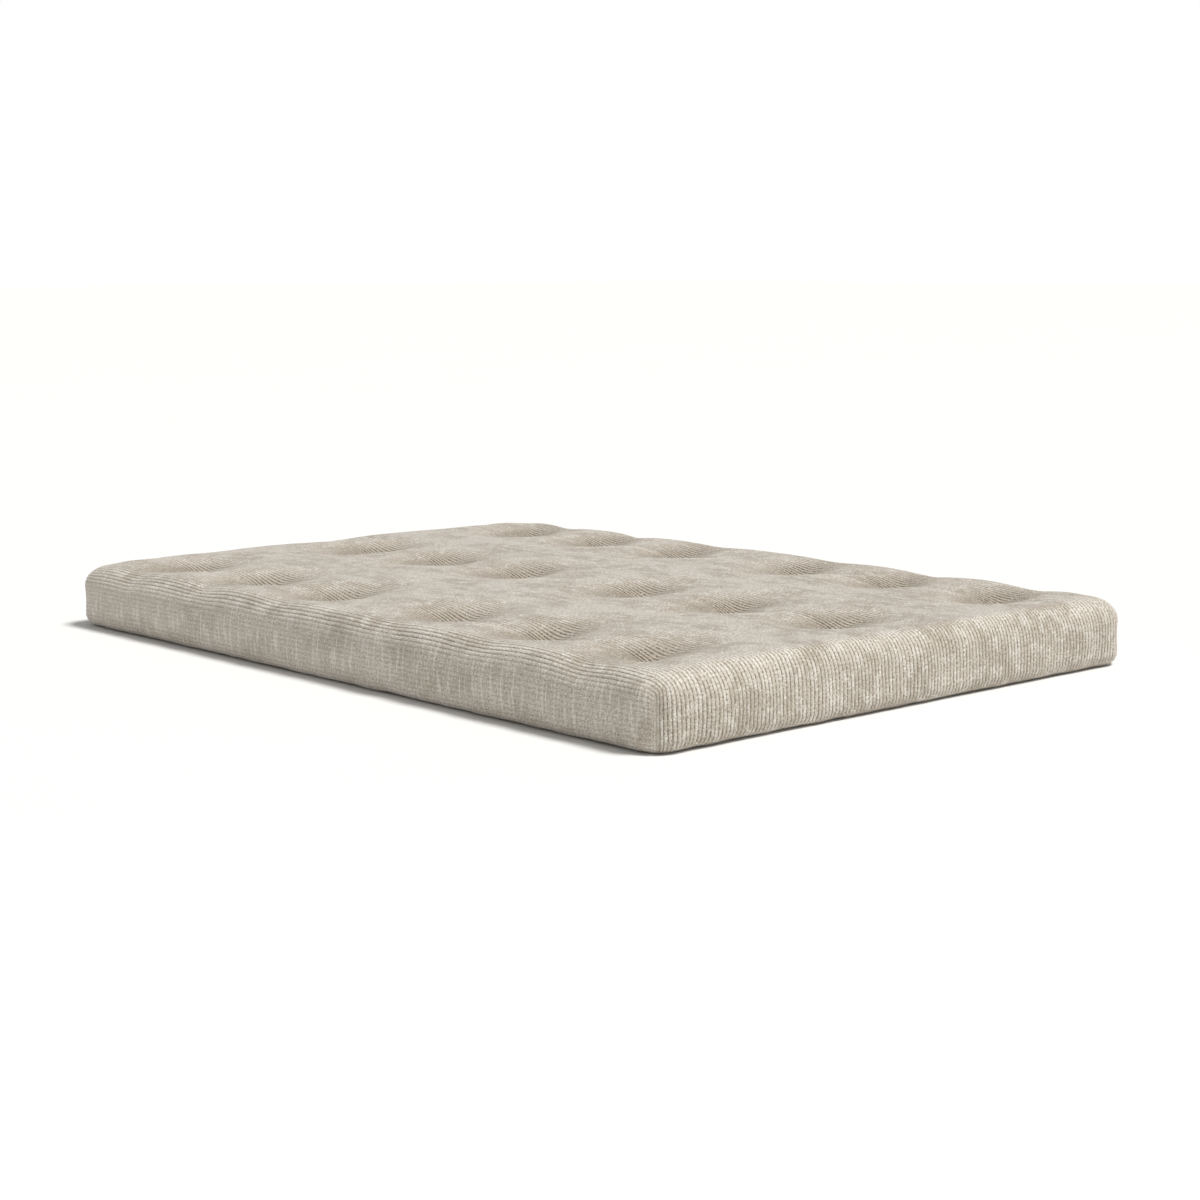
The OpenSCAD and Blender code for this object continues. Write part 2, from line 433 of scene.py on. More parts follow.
def blow_up(points, faces, held):
    """Runs a cloth simulation with air pressure and gives the points where they end."""
    frames = 20
    scene = bpy.context.scene
    mesh = bpy.data.meshes.new("trial_cover")
    mesh.from_pydata(points.tolist(), [], faces.tolist())
    trial = bpy.data.objects.new("trial_cover", mesh)
    scene.collection.objects.link(trial)
    trial.vertex_groups.new(name="held").add(held.tolist(), 1.0, "REPLACE")
    cloth = trial.modifiers.new("Filling pressure", "CLOTH")
    settings = cloth.settings
    settings.quality = 6
    settings.mass = 0.4
    settings.tension_stiffness = 20
    settings.compression_stiffness = 8
    settings.shear_stiffness = 4
    settings.bending_stiffness = 0.3
    # The pieces are cut a little larger than their shape.
    settings.shrink_min = -0.012
    settings.vertex_group_mass = "held"
    settings.use_pressure = True
    settings.uniform_pressure_force = 4
    settings.effector_weights.gravity = 0
    cloth.collision_settings.use_collision = False
    cloth.collision_settings.use_self_collision = False
    for number in range(1, frames + 1):
        scene.frame_set(number)
    shaped = trial.evaluated_get(bpy.context.evaluated_depsgraph_get()).data
    ends = np.zeros(len(points) * 3)
    shaped.vertices.foreach_get("co", ends)
    scene.frame_set(1)
    bpy.data.objects.remove(trial)
    bpy.data.meshes.remove(mesh)
    return ends.reshape(-1, 3)


def evened(values, faces):
    """Each point's values, averaged half and half with those round it."""
    total, count = np.zeros_like(values), np.zeros(len(values))
    for k in range(4):
        for here, there in ((faces[:, k], faces[:, k - 1]), (faces[:, k - 1], faces[:, k])):
            for axis in range(3):
                total[:, axis] += np.bincount(here, values[there, axis], len(values))
            count += np.bincount(here, minlength=len(values))
    return (values + total / np.maximum(count, 1)[:, None]) / 2


def closed_bag(shape, us, vs, points, number, faces):
    """The cover as a bag, with its corner seams sewn and a flat base.

    Gives the points and faces, and which point each point of the cover is sewn to."""
    col = {s: int(np.argmin(np.abs(us - s * shape.u_cut))) for s in (-1, 1)}
    row = {s: int(np.argmin(np.abs(vs - s * shape.v_cut))) for s in (-1, 1)}
    sewn = np.arange(len(points))
    seam_length = min(len(us) - 1 - col[1], len(vs) - 1 - row[1])
    for su in (-1, 1):
        for sv in (-1, 1):
            for k in range(1, seam_length + 1):
                sewn[number[row[sv] + sv * k, col[su]]] = number[row[sv], col[su] + su * k]
    rows, cols = np.arange(row[-1], row[1] + 1), np.arange(col[-1], col[1] + 1)
    base = np.full((len(rows), len(cols)), -1)
    base[:, 0], base[:, -1] = number[rows, 0], number[rows, -1]
    base[0, :], base[-1, :] = sewn[number[0, cols]], sewn[number[-1, cols]]
    inner = base < 0
    base[inner] = len(points) + np.arange(inner.sum())
    scale_u = points[base[:, -1]][:, 0].max() / shape.u_cut
    scale_v = points[base[-1, :]][:, 1].max() / shape.v_cut
    base_u, base_v = np.meshgrid(us[cols] * scale_u, vs[rows] * scale_v)
    floor = np.stack([base_u[inner], base_v[inner], np.zeros(inner.sum())], -1)
    base_faces = np.stack([base[:-1, :-1], base[1:, :-1], base[1:, 1:], base[:-1, 1:]], -1)
    bag_faces = np.concatenate([sewn[faces], base_faces.reshape(-1, 4)])
    return np.concatenate([points, floor]), bag_faces, sewn


def swell(shape):
    """How the filling's pressure moves the cover, on the coarse grid lines."""
    sizes, smoothings = shape.sizes, 3
    us, vs = shape.lines(sizes.panel_step)
    uu, vv, kept, number, faces = shape.cross(us, vs)
    moved = np.zeros(uu.shape + (3,))
    points = shape.place(uu[kept], vv[kept])
    bag, bag_faces, sewn = closed_bag(shape, us, vs, points, number, faces)
    used, compact = np.unique(bag_faces, return_inverse=True)
    compact = compact.reshape(-1, 4)
    start = bag[used]
    # The tufts and the base hold the cloth.
    gap = np.min([np.hypot(start[:, 0] - x, start[:, 1] - y) for x, y in TUFT_PLACES], axis=0)
    held = (gap < 0.6 * sizes.panel_step) | (start[:, 2] < 2 * MM)
    shift = blow_up(start, compact, np.flatnonzero(held)) - start
    out = point_normals(start, compact)
    along = (shift * out).sum(1)
    sideways = shift - along[:, None] * out
    along = np.clip(along, -sizes.most_sink, sizes.most_swell)
    slip = np.linalg.norm(sideways, axis=1)
    sideways *= (np.minimum(slip, sizes.most_sink) / np.maximum(slip, 1e-9))[:, None]
    shift = along[:, None] * out + sideways
    for _ in range(smoothings):
        shift = evened(shift, compact)
    whole = np.zeros_like(bag)
    whole[used] = shift
    moved[kept] = whole[sewn]
    return us, vs, moved


def fine_swell(shape, us, vs, uu, vv):
    """The pressure's shift of the cover, carried from the coarse grid lines to the fine ones.

    The side walls and the end walls part at the corner cuts, so each has its own lines."""
    coarse_u, coarse_v, moved = swell(shape)
    in_u, in_v = np.abs(coarse_u) < shape.u_cut + TINY, np.abs(coarse_v) < shape.v_cut + TINY
    side_u, side_v = weights(us, coarse_u), weights(vs, coarse_v[in_v])
    end_u, end_v = weights(us, coarse_u[in_u]), weights(vs, coarse_v)
    by_sides = np.einsum("jb,bac,ia->jic", side_v, moved[in_v], side_u, optimize=True)
    by_ends = np.einsum("jb,bac,ia->jic", end_v, moved[:, in_u], end_u, optimize=True)
    change = 0.06
    share = ease((np.abs(vv) - shape.v_cut + change) / change)
    share = share * (np.abs(uu) < shape.u_cut + TINY)
    return by_sides + (by_ends - by_sides) * share[..., None]


def pressed_flat(height, limit):
    """Heights kept softly under a limit and over the ground."""
    soft = 2.5 * MM
    return np.maximum(limit - soft * np.log1p(np.exp((limit - height) / soft)), 0.0)


@lru_cache(maxsize=None)
def sewn_cover():
    """The finished cover: its shape, grid lines, points and faces, the places of its points on
    the flat cloth, and its marks."""
    shape = CoverShape(bpy.context.scene.futon_sizes)
    (us, vs), pitch = shape.fine_lines()
    uu, vv, kept, number, faces = shape.cross(us, vs)
    u, v = uu[kept], vv[kept]
    points = shape.place(u, v) + fine_swell(shape, us, vs, uu, vv)[kept]
    side_wall, end_wall = shape.walls(u, v)
    lift = loose_cloth(u, v, side_wall, end_wall)
    points = points + point_normals(points, faces) * lift[:, None]
    top_ends, top_fade = 0.03, 0.05
    on_top = 1 - ease((np.maximum(*shape.past_inner(u, v)) - top_ends) / top_fade)
    pinch = shape.pinched(u, v)
    # Corduroy ribs: broad round crests and narrow grooves, flatter where the pile is crushed.
    crest = np.abs(np.sin(math.pi * u / pitch)) ** 0.6
    crushed = 1 - 0.6 * side_wall - 0.25 * np.clip(ripples(u, v, 8, 0.05, 0.08), 0, 1)
    rib = shape.sizes.rib_depth * (crest - 1) * crushed
    # The corner seams are drawn in, and have no ribs.
    seam_width, seam_depth, seam_mark_width = 0.005, 1.1 * MM, 0.008
    seam_gap = shape.seam_gap(u, v)
    at_seam = np.exp(-((seam_gap / seam_width) ** 2))
    points = points + point_normals(points, faces) * (rib * (1 - at_seam))[:, None]
    corner = np.stack([np.sign(u), np.sign(v), np.zeros(len(u))], -1) / math.sqrt(2)
    points = points - corner * (seam_depth * at_seam)[:, None]
    points[:, 2] = pressed_flat(points[:, 2], shape.height + 0.2 * MM)
    return {
        "shape": shape, "points": points, "faces": faces, "u": u, "v": v,
        "number": number, "us": us, "vs": vs, "pitch": pitch, "side_wall": side_wall,
        "seam": np.exp(-((seam_gap / seam_mark_width) ** 2)), "pinch": pinch * on_top,
        "pillow": ease((0.17 - pinch) / 0.13) * on_top,
    }


def loose_cloth(u, v, side_wall, end_wall):
    """Creases beside the tufts and soft folds down the walls, as a distance outwards."""
    crease_width, puff_width, puff_offset, puff_height = 0.014, 0.018, 0.026, 1.6 * MM
    side_fold, end_fold, dimple = 1.1 * MM, 0.8 * MM, 0.5 * MM
    lift = np.zeros(len(u))
    dice = np.random.default_rng(21)
    for tx, ty in TUFT_PLACES:
        for way in (-1, 1):
            offset, bend, reach = (
                dice.uniform(-0.012, 0.012), dice.uniform(-0.05, 0.05), dice.uniform(0.09, 0.2)
            )
            along = (v - ty) * way
            line = tx + offset + bend * along
            near = np.exp(-(((u - line) / crease_width) ** 2)) * ease(along / 0.03)
            fade = np.exp(-((along / reach) ** 2))
            lift = lift - dice.uniform(0.5, 2.2) * MM * near * fade
            puffed = np.exp(-(((u - line - puff_offset) / puff_width) ** 2))
            lift = lift + puff_height * puffed * ease(along / 0.04) * fade
    lift = lift + side_wall * side_fold * ripples(v + 0.3 * u, 0.12 * u, 5, 0.035, 0.3)
    lift = lift + end_wall * end_fold * ripples(u + 0.1 * v, 0.2 * v, 6, 0.05, 0.3)
    return lift + dimple * ripples(u, v, 9, 0.06, 0.09)


# --- meshes ------------------------------------------------------------------------------


def make_piece(name, points, faces, material, uv=None, marks=None):
    """A smooth mesh object, with an optional flat-cloth map and point values."""
    mesh = bpy.data.meshes.new(name)
    mesh.from_pydata(np.asarray(points).tolist(), [], np.asarray(faces).tolist())
    mesh.shade_smooth()
    if uv is not None:
        corners = np.zeros(len(mesh.loops), int)
        mesh.loops.foreach_get("vertex_index", corners)
        mesh.uv_layers.new(name="cloth").data.foreach_set("uv", uv[corners].ravel())
    for mark, values in (marks or {}).items():
        mesh.attributes.new(mark, "FLOAT", "POINT").data.foreach_set("value", values)
    mesh.materials.append(material)
    piece = bpy.data.objects.new(name, mesh)
    bpy.context.scene.collection.objects.link(piece)
    return piece


def part_of(points, faces, chosen, *more):
    """Only the chosen faces, with the points that they use."""
    used, compact = np.unique(faces[chosen], return_inverse=True)
    return [points[used], compact.reshape(-1, faces.shape[1])] + [m[used] for m in more]


def fold_over(piece, half):
    """Bakes the placement of a half of the mattress into its points; the half is not bent over
    its fold line.
    """
    if half == "foot":
        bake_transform(piece)
    else:
        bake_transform(piece)


def tube(path, radius, sides=8):
    """Points and faces of a round cord along a path; radius is a number or one per point."""
    path = np.asarray(path, float)
    ahead = np.gradient(path, axis=0)
    ahead /= np.maximum(np.linalg.norm(ahead, axis=1), 1e-12)[:, None]
    across = np.cross(ahead[0], (0.3, 0.5, 0.81))
    frames = []
    for t in ahead:
        across = across - t * (across @ t)
        across /= np.linalg.norm(across)
        frames.append((across, np.cross(t, across)))
    angle = np.arange(sides) * 2 * math.pi / sides
    radius = np.broadcast_to(radius, len(path))
    rings = np.concatenate([
        p + r * (np.outer(np.cos(angle), n) + np.outer(np.sin(angle), m))
        for p, r, (n, m) in zip(path, radius, frames)
    ])
    i, j = np.meshgrid(np.arange(len(path) - 1), np.arange(sides), indexing="ij")
    k = (j + 1) % sides
    faces = np.stack([i * sides + j, i * sides + k, (i + 1) * sides + k, (i + 1) * sides + j], -1)
    return rings, faces.reshape(-1, 4)


def joined(parts):
    """Several sets of points and faces as one."""
    points, faces, count = [], [], 0
    for p, f in parts:
        points.append(p)
        faces.append(f + count)
        count += len(p)
    return np.concatenate(points), np.concatenate(faces)


def two_ply(path, radius, lay, sides=6):
    """A cord of two strands laid round each other; lay is the length of one turn."""
    path = np.asarray(path, float)
    gaps = np.linalg.norm(np.diff(path, axis=0), axis=1)
    run = np.concatenate([[0], np.cumsum(gaps)])
    count = max(8, int(run[-1] / lay * 8))
    at = np.linspace(0, run[-1], count)
    centre = np.stack([np.interp(at, run, path[:, k]) for k in range(3)], -1)
    ahead = np.gradient(centre, axis=0)
    ahead /= np.maximum(np.linalg.norm(ahead, axis=1), 1e-12)[:, None]
    first = np.cross(ahead, (0.31, 0.52, 0.79))
    first /= np.linalg.norm(first, axis=1)[:, None]
    second = np.cross(ahead, first)
    angle = 2 * math.pi * at / lay
    strands = []
    for start in (0, math.pi):
        spin = np.cos(angle + start)[:, None] * first + np.sin(angle + start)[:, None] * second
        strands.append(tube(centre + 0.5 * radius * spin, 0.55 * radius, sides))
    return joined(strands)


# --- materials ---------------------------------------------------------------------------


def add_node(tree, kind, sockets=None, **settings):
    """Adds a node with its settings, socket values and incoming links.

    A node given as a socket's value stands for its first output in use."""
    node = tree.nodes.new(kind)
    for name, value in settings.items():
        setattr(node, name, value)
    for name, value in (sockets or {}).items():
        if isinstance(value, bpy.types.Node):
            value = next(output for output in value.outputs if output.enabled)
        if isinstance(value, bpy.types.NodeSocket):
            tree.links.new(value, node.inputs[name])
        else:
            node.inputs[name].default_value = value
    return node


def rgba(values, shade=1.0):
    """A colour with full opacity, at a share of its brightness."""
    return (*(shade * value for value in values), 1.0)


def new_material(name):
    """An empty material and its tree of nodes."""
    material = bpy.data.materials.new(name)
    material.use_nodes = True
    material.node_tree.nodes.clear()
    return material, material.node_tree


def surface(tree, tone, shader, relief=(), strength=0.0, depth_mm=0.0):
    """Ends a material with its colour, its plain shader values and its relief.

    The relief is a list of patterns, each with its share of the height."""
    sockets = {"Base Color": tone, **shader}
    height = 0.0
    for pattern, share in relief:
        height = add_node(
            tree, "ShaderNodeMath", {0: pattern, 1: share, 2: height}, operation="MULTIPLY_ADD"
        )
    if relief:
        sockets["Normal"] = add_node(
            tree, "ShaderNodeBump",
            {"Strength": strength, "Distance": depth_mm * MM, "Height": height},
        )
    shaded = add_node(tree, "ShaderNodeBsdfPrincipled", sockets)
    add_node(tree, "ShaderNodeOutputMaterial", {"Surface": shaded})


def share_of(tree, *fades):
    """How much of a layer shows: the product of its fades, from 0 to 1.

    A fade is a pattern, or a pattern with the two values that it runs between and the shares
    that it is eased to there."""
    product = None
    for fade in fades:
        if isinstance(fade, tuple):
            pattern, low, high, first, last = fade
            fade = add_node(
                tree, "ShaderNodeMapRange",
                {"Value": pattern, "From Min": low, "From Max": high, "To Min": first,
                 "To Max": last},
                interpolation_type="SMOOTHSTEP",
            )
        if product is not None:
            fade = add_node(tree, "ShaderNodeMath", {0: product, 1: fade}, operation="MULTIPLY")
        product = fade
    return product


def laid_over(tree, under, layer, *fades):
    """A colour laid over another, as strongly as its fades say."""
    return add_node(
        tree, "ShaderNodeMix", {0: share_of(tree, *fades), 6: under, 7: layer}, data_type="RGBA"
    )


def cloth_noise(tree, place, grain_mm, detail=2.0, roughness=0.55):
    """Noise whose grains have the given size across and along the cloth."""
    pace = (1000 / grain_mm[0], 1000 / grain_mm[1], 1000 / grain_mm[-1])
    scaled = add_node(tree, "ShaderNodeVectorMath", {0: place, 1: pace}, operation="MULTIPLY")
    return add_node(
        tree, "ShaderNodeTexNoise",
        {"Vector": scaled, "Scale": 1.0, "Detail": detail, "Roughness": roughness},
    )


@lru_cache(maxsize=None)
def chenille_corduroy():
    """Wide-wale chenille corduroy: cut pile in round ribs over a darker woven ground.

    The pile is matt with a pale bloom at the edges, beaded by its tufts of yarn, and has
    lighter and darker patches where it lies in different directions. The dark of the grooves
    is partly painted shade; painted shade also darkens the tufts' pinches, and a painted
    highlight pales the tops of the pillows."""
    colours = bpy.context.scene.futon_colours
    plain, light = rgba(colours.rib), rgba(colours.rib_pale_and_highlight)
    dark_and_shade, shaded = rgba(colours.rib_dark_and_shade), rgba(colours.rib_shaded)
    groove, pinch_groove_shade = rgba(colours.groove), rgba(colours.pinch_groove_shade)
    material, tree = new_material("chenille_corduroy")
    place = add_node(tree, "ShaderNodeUVMap", uv_map="cloth")
    wall, seam, pinch, pillow = [
        add_node(tree, "ShaderNodeAttribute", attribute_name=mark).outputs["Fac"]
        for mark in COVER_MARKS
    ]
    # 0 in the groove and 1 on the crest.
    cloth = add_node(tree, "ShaderNodeSeparateXYZ", {0: place}).outputs
    pitch = sewn_cover()["pitch"]
    ribs = add_node(tree, "ShaderNodeMath", {0: cloth["X"], 1: pitch}, operation="DIVIDE")
    half_rib = add_node(tree, "ShaderNodeMath", {0: ribs, 1: 0.5}, operation="PINGPONG")
    crest = add_node(tree, "ShaderNodeMath", {0: half_rib, 1: 2.0}, operation="MULTIPLY")
    # Yarn beads of 4.5 mm along each rib, which start anew on every rib. The 2 mm flecks of the
    # yarn are too fine to show and are drawn at 4 to 5 mm.
    bead_length, rib_shift = 4.5 * MM, 7.31
    rib_number = add_node(tree, "ShaderNodeMath", {0: ribs}, operation="FLOOR")
    rib_start = add_node(
        tree, "ShaderNodeMath", {0: rib_number, 1: rib_shift}, operation="MULTIPLY"
    )
    along = add_node(tree, "ShaderNodeMath", {0: cloth["Y"], 1: bead_length}, operation="DIVIDE")
    bead_place = add_node(tree, "ShaderNodeCombineXYZ", {0: rib_start, 1: along})
    beads = add_node(
        tree, "ShaderNodeTexNoise", {"Vector": bead_place, "Scale": 1.0, "Detail": 1.0}
    )
    flecks = cloth_noise(tree, place, (3.6, 4.8), detail=3.0, roughness=0.75)
    fibre = cloth_noise(tree, place, (1.1, 1.1), roughness=0.7)
    # Brushed patches, large and small, and the crush marks that run down the side walls.
    patches = cloth_noise(tree, place, (90, 150), detail=4.0, roughness=0.62)
    small_patches = cloth_noise(tree, place, (22, 34), detail=3.0)
    streaks = cloth_noise(tree, place, (75, 8), detail=3.0, roughness=0.6)
    pile = laid_over(tree, dark_and_shade, plain, (patches, 0.38, 0.58, 0.3, 1.0))
    # Painted shade: the pile is darkened where a tuft pulls it down into a pinch, and darkest, in
    # the groove's colour, at the twine.
    pile = laid_over(tree, pile, dark_and_shade, (pinch, 0.12, 0.55, 0.0, 0.9))
    pile = laid_over(tree, pile, groove, (pinch, 0.75, 1.0, 0.0, 0.8))
    # Painted highlight: the pile is made paler on the tops of the pillows, where the light falls.
    pile = laid_over(tree, pile, light, pillow, (patches, 0.42, 0.6, 0.05, 0.5))
    # Pale patches of brushed pile, fewer on the walls, and fewer in the pinches to keep their
    # painted shade.
    pile = laid_over(
        tree, pile, light, (small_patches, 0.46, 0.66, 0.0, 0.8), (wall, 0.0, 1.0, 1.0, 0.25),
        (pinch, 0.15, 0.4, 1.0, 0.1),
    )
    pile = laid_over(tree, pile, light, (flecks, 0.52, 0.66, 0.0, 0.85))
    pile = laid_over(tree, pile, shaded, (flecks, 0.52, 0.36, 0.0, 0.9))
    pile = laid_over(tree, pile, light, (streaks, 0.52, 0.66, 0.0, 0.7), wall)
    # The ground shows in the grooves, broken up where beads of pile bridge it. Its darker colour
    # there is partly the ground's own tone and partly painted shade in the grooves.
    bridged = (beads, 0.64, 0.42, 0.2, 1.0)
    between_ribs = share_of(
        tree, (crest, 0.5, 0.14, 0.0, 1.0), bridged, (wall, 0.0, 0.8, 0.85, 0.22),
        (seam, 0.0, 1.0, 1.0, 0.1),
    )
    # The grooves open where the cloth is pulled into a pinch, and the ground in them is painted
    # darker there: painted shade.
    in_pinch = (pinch, 0.1, 0.5, 0.0, 1.0)
    opened = share_of(tree, in_pinch, (crest, 0.62, 0.2, 0.0, 1.0), bridged)
    bare = add_node(tree, "ShaderNodeMath", {0: between_ribs, 1: opened}, operation="MAXIMUM")
    ground = laid_over(tree, groove, pinch_groove_shade, in_pinch)
    surface(
        tree, laid_over(tree, pile, ground, bare),
        {"Roughness": 0.92, "IOR": 1.5, "Specular IOR Level": 0.2, "Sheen Weight": 0.55,
         "Sheen Roughness": 0.4},
        [(beads, 0.9), (flecks, 0.8), (fibre, 0.35)], strength=0.85, depth_mm=1.1,
    )
    return material


@lru_cache(maxsize=None)
def cotton_twill():
    """Unbleached cotton twill: dull, with a fine diagonal, slubs and seed flecks.

    Its 0.6 mm twill lines are drawn at 5 mm, because the true ones are too fine to show."""
    twill_pitch, twill_slope = 5 * MM, 0.6
    cotton = bpy.context.scene.futon_colours.base_cloth
    darker, seed = rgba(cotton, 0.68), rgba(cotton, 0.45)
    material, tree = new_material("cotton_twill")
    place = add_node(tree, "ShaderNodeUVMap", uv_map="cloth")
    cloth = add_node(tree, "ShaderNodeSeparateXYZ", {0: place}).outputs
    diagonal = add_node(
        tree, "ShaderNodeMath", {0: cloth["Y"], 1: twill_slope, 2: cloth["X"]},
        operation="MULTIPLY_ADD",
    )
    turn = add_node(
        tree, "ShaderNodeMath", {0: diagonal, 1: 2 * math.pi / twill_pitch}, operation="MULTIPLY"
    )
    lines = add_node(tree, "ShaderNodeMath", {0: turn}, operation="SINE")
    slubs = cloth_noise(tree, place, (2.6, 14), detail=3.0)
    cross_slubs = cloth_noise(tree, place, (26, 2.8), detail=3.0)
    stains = cloth_noise(tree, place, (60, 60), detail=4.0)
    seeds = cloth_noise(tree, place, (4, 4), detail=1.0)
    # Painted shade in the creases round each knot.
    pinch_shade = add_node(tree, "ShaderNodeAttribute", attribute_name="pinch").outputs["Fac"]
    tone = rgba(cotton)
    for layer, *fade in (
        (darker, lines, -1.0, 1.0, 0.35, 0.0),
        (darker, slubs, 0.48, 0.7, 0.0, 0.7),
        (darker, cross_slubs, 0.5, 0.72, 0.0, 0.55),
        (darker, stains, 0.42, 0.72, 0.0, 0.3),
        (darker, pinch_shade, 0.1, 1.1, 0.0, 0.85),
        (seed, seeds, 0.74, 0.8, 0.0, 0.6),
    ):
        tone = laid_over(tree, tone, layer, tuple(fade))
    surface(
        tree, tone, {"Roughness": 0.88, "Specular IOR Level": 0.25, "Sheen Weight": 0.15},
        [(lines, 0.5), (slubs, 1.0)], strength=0.5, depth_mm=0.4,
    )
    return material


def grainy(name, tone, grain_mm, shade, depth_mm, shader):
    """A matt material of soft grains in two tones, with the same grains as relief."""
    material, tree = new_material(name)
    place = add_node(tree, "ShaderNodeTexCoord").outputs["Object"]
    coarse = cloth_noise(tree, place, grain_mm, detail=4.0, roughness=0.65)
    wide = cloth_noise(tree, place, [8 * grain for grain in grain_mm])
    mix = laid_over(tree, rgba(tone), rgba(tone, shade), (coarse, 0.4, 0.7, 0.0, 0.8))
    mix = laid_over(tree, mix, rgba(tone, shade), (wide, 0.45, 0.75, 0.0, 0.4))
    surface(tree, mix, shader, [(coarse, 1.0)], strength=0.7, depth_mm=depth_mm)
    return material


@lru_cache(maxsize=None)
def felted_cotton_wadding():
    """Felted cotton wadding: off-white, matt and fibrous, with lint that runs one way."""
    return grainy(
        "felted_cotton_wadding", bpy.context.scene.futon_colours.wadding, (3, 11, 3), 0.8, 1.5,
        {"Roughness": 0.95, "Specular IOR Level": 0.15, "Sheen Weight": 0.3},
    )


@lru_cache(maxsize=None)
def polyurethane_foam():
    """Open-cell polyurethane foam: pale cream, matt, with 2 mm cells."""
    return grainy(
        "polyurethane_foam", bpy.context.scene.futon_colours.foam, (2, 2, 2), 0.7, 1.0,
        {"Roughness": 0.85, "Specular IOR Level": 0.3},
    )


@lru_cache(maxsize=None)
def spun_polyester_thread():
    """Spun polyester sewing thread: slight gloss on its plies, in the cover's shade."""
    return grainy(
        "spun_polyester_thread", bpy.context.scene.futon_colours.thread, (0.6, 0.6, 0.6), 0.7,
        0.2, {"Roughness": 0.6, "IOR": 1.55, "Sheen Weight": 0.2},
    )


@lru_cache(maxsize=None)
def waxed_cotton_twine():
    """Waxed cotton tufting twine: soft gloss from the wax on its laid strands."""
    return grainy(
        "waxed_cotton_twine", bpy.context.scene.futon_colours.twine, (0.8, 0.8, 0.8), 0.7,
        0.2, {"Roughness": 0.5, "IOR": 1.45, "Sheen Weight": 0.1},
    )


# --- operators ---------------------------------------------------------------------------


class FUTON_OT_cover(bpy.types.Operator):
    """Sews the corduroy cover and fills it out"""

    bl_idname = "futon.cover"
    bl_label = "Corduroy cover"

    def execute(self, context):
        cover = sewn_cover()
        uv = np.stack([cover["u"], cover["v"]], -1)
        middle = cover["v"][cover["faces"]].mean(1)
        for half, way in HALVES.items():
            points, faces, cloth, *values = part_of(
                cover["points"], cover["faces"], way * middle > 0, uv,
                *[cover[mark] for mark in COVER_MARKS],
            )
            piece = make_piece(
                f"corduroy_cover_{half}", points, faces, chenille_corduroy(), cloth,
                dict(zip(COVER_MARKS, values)),
            )
            fold_over(piece, half)
            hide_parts(f"cover_upper_{half}", "cover_upper_middle")
        return {"FINISHED"}


def under_pinches(x, y, depth):
    """How far the tufts pull the underside up."""
    reach = 0.036
    rise = np.zeros(np.shape(x))
    for tx, ty in TUFT_PLACES:
        far = np.hypot(x - tx, y - ty) / reach
        rise = np.maximum(rise, depth * np.exp(-np.maximum(np.sqrt(far * far + 0.05) - 0.22, 0)))
    return rise


def gathers(x, y):
    """Creases of the base cloth that run out from each tuft, from 0 to 1."""
    creases, reach = 7, 0.03
    total = np.zeros(np.shape(x))
    for k, (tx, ty) in enumerate(TUFT_PLACES):
        far = np.hypot(x - tx, y - ty) / reach
        around = np.arctan2(y - ty, x - tx)
        total += (1 + np.cos(creases * around + k)) / 2 * far * np.exp((1 - far * far) / 2)
    return total


def rounded_sheet(shape, reach, step, way):
    """Grid over one half of the plan, with its corners rounded; reach is past the inner lines."""
    half_x, half_y = shape.inner + reach
    us = np.linspace(-half_x, half_x, 2 * round(shape.inner[0] / step) + 3)
    vs = np.linspace(0, half_y, round(shape.inner[1] / step) + 2) * way
    uu, vv = np.meshgrid(us, vs[::way])
    a, b = shape.past_inner(uu, vv)
    far = np.maximum(a, b)
    turn = shape.corner_turn(a, b, np.inf)
    x = np.sign(uu) * (np.minimum(np.abs(uu), shape.inner[0]) + far * np.cos(turn))
    y = np.sign(vv) * (np.minimum(np.abs(vv), shape.inner[1]) + far * np.sin(turn))
    flat = (a == 0) & (b == 0)
    return np.where(flat, uu, x), np.where(flat, vv, y), np.maximum(reach - far, 0)


def grid_faces(rows, cols):
    """Faces of a grid of points stored row by row."""
    n = np.arange(rows * cols).reshape(rows, cols)
    return np.stack([n[:-1, :-1], n[:-1, 1:], n[1:, 1:], n[1:, :-1]], -1).reshape(-1, 4)


class FUTON_OT_base_cloth(bpy.types.Operator):
    """Lays the cotton twill under the mattress"""

    bl_idname = "futon.base_cloth"
    bl_label = "Base cloth"

    def execute(self, context):
        shape = sewn_cover()["shape"]
        inset, step, off_ground = 0.0012, 0.008, 0.3 * MM
        turned_up, turned_run, crease, wave = 1.6 * MM, 0.0025, 3.2 * MM, 0.9 * MM
        for half, way in HALVES.items():
            x, y, from_edge = rounded_sheet(shape, shape.seam_offset - inset, step, way)
            z = under_pinches(x, y, shape.sizes.under_pinch) + off_ground
            z = z + turned_up * np.exp(-from_edge / turned_run)
            z = z + crease * gathers(x, y)
            loose = ease(from_edge / 0.03) * np.clip(ripples(x, y, 14, 0.16, 0.028), 0, 2)
            z = z + wave * loose
            faces = grid_faces(*x.shape)[:, ::-1]
            points = np.stack([x, y, z], -1).reshape(-1, 3)
            # Where the base cloth gets its painted shade: round each knot and along its creases.
            pinch = under_pinches(x, y, 1.0) + 0.5 * gathers(x, y)
            piece = make_piece(
                f"base_cloth_{half}", points, faces, cotton_twill(), points[:, :2],
                {"pinch": pinch.ravel()},
            )
            fold_over(piece, half)
            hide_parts(f"cover_base_{half}", "cover_base_middle")
        return {"FINISHED"}


